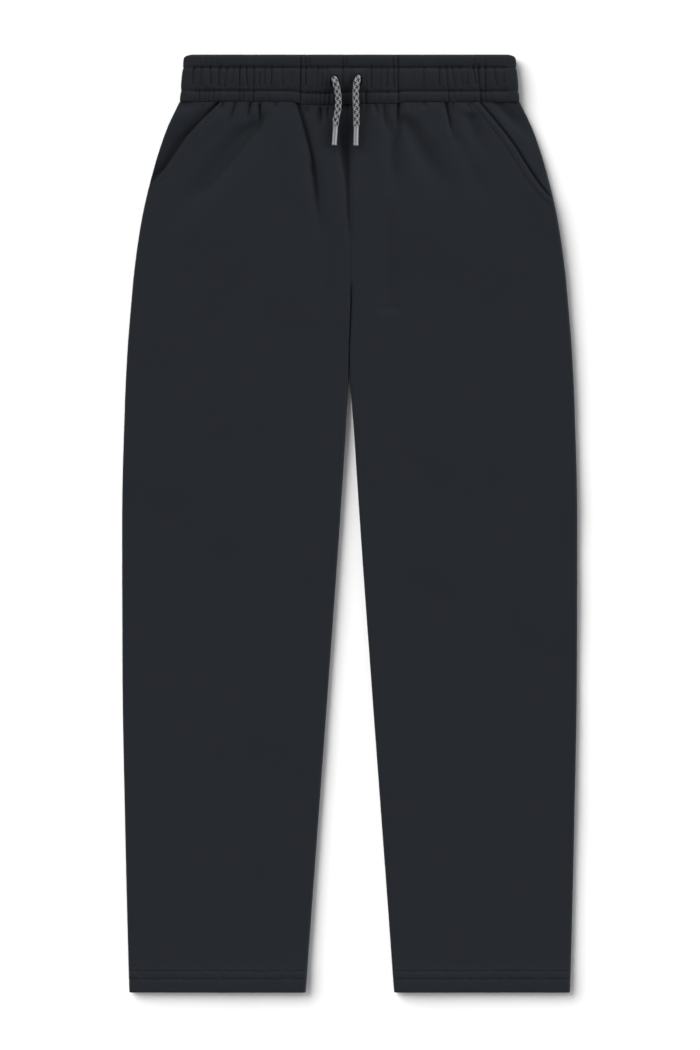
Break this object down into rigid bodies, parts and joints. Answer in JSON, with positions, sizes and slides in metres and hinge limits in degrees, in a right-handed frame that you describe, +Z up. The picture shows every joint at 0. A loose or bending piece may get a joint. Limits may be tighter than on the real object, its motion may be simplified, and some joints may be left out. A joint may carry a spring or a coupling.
{
  "type": "sweatpants",
  "caption": "Pull-on sweatpants laid flat, with a gathered elastic waistband, a drawcord with metal tips, slanted pockets and straight open hems.",
  "frame": {"origin": "on the surface that the sweatpants lie on, below the middle of their outline", "axes": "+Z up from the surface, +Y along the legs from the hems to the waistband, +X across to the wearer's left"},
  "size_m": [0.4082, 0.84, 0.0166],
  "materials": {
    "fleece": "matt charcoal sweatshirt fleece, smooth knitted face",
    "waistband": "the same fleece, gathered over elastic",
    "cord": "round braid of light grey yarn with black flecks",
    "cord_tip": "satin metal tube"
  },
  "bodies": {
    "root": {"front_left": "fleece", "front_right": "fleece", "back_left": "fleece", "back_right": "fleece", "pocket_facing_left": "fleece", "pocket_facing_right": "fleece", "waistband_front": "waistband", "waistband_back": "waistband", "drawcord_left": "cord", "drawcord_right": "cord", "aglet_left": "cord_tip", "aglet_right": "cord_tip"}
  },
  "joints": []
}
